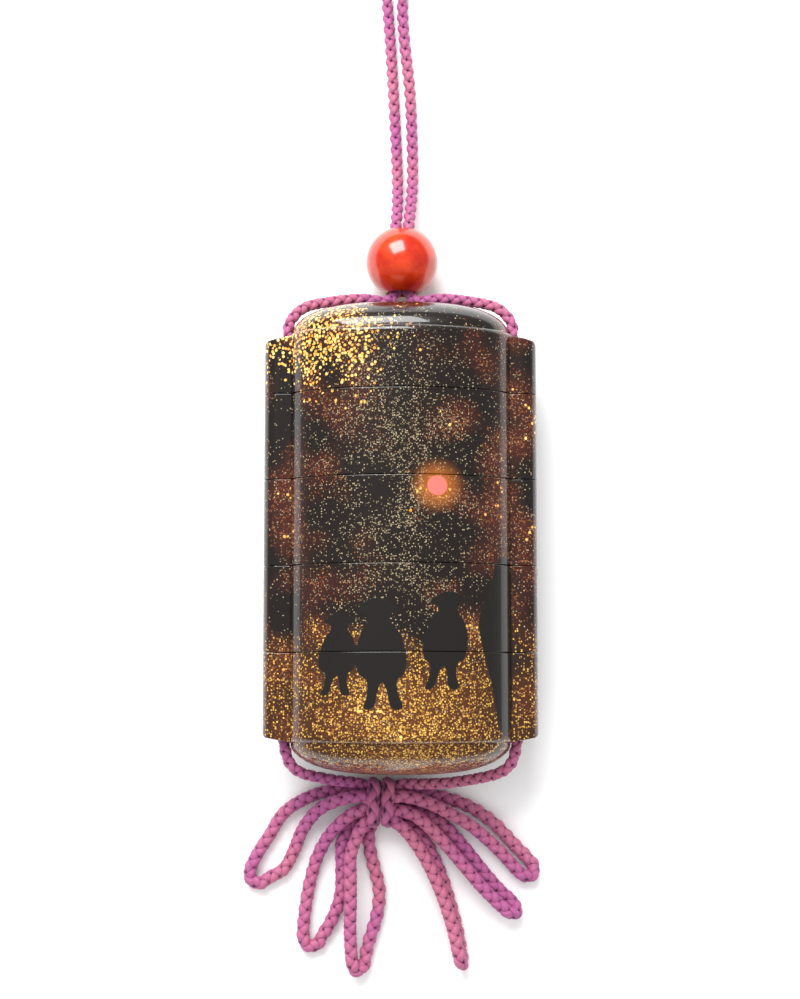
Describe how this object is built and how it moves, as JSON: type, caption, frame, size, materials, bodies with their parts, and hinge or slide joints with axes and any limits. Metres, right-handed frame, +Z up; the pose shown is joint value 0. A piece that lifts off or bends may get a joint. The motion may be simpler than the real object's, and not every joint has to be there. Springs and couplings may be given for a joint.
{
  "type": "inro case",
  "caption": "Oval lacquered inro: a lid and stacked cases on a silk cord, with a round bead above and a looped bow below.",
  "frame": {"origin": "bottom centre of the lacquer body as it lies on its back, without the cord, knot, bow and bead", "axes": "+Y along the stack towards the lid and bead, +Z up out of the pictured front, +X to the right as seen from the front"},
  "size_m": [0.0547, 0.2501, 0.0245],
  "materials": {
    "lacquer": "gloss",
    "coral_bead": "polished",
    "silk_cord": "satin"
  },
  "bodies": {
    "root": {"lid": "lacquer", "case_upper": "lacquer", "case_second": "lacquer", "case_third": "lacquer", "case_base": "lacquer", "bead": "coral_bead", "cord_long": "silk_cord", "bow_knot": "silk_cord", "bow_loop_left_outer": "silk_cord", "bow_loop_left_middle": "silk_cord", "bow_loop_left_inner": "silk_cord", "bow_loop_right_outer": "silk_cord", "bow_loop_right_middle": "silk_cord", "bow_loop_right_inner": "silk_cord"}
  },
  "joints": []
}
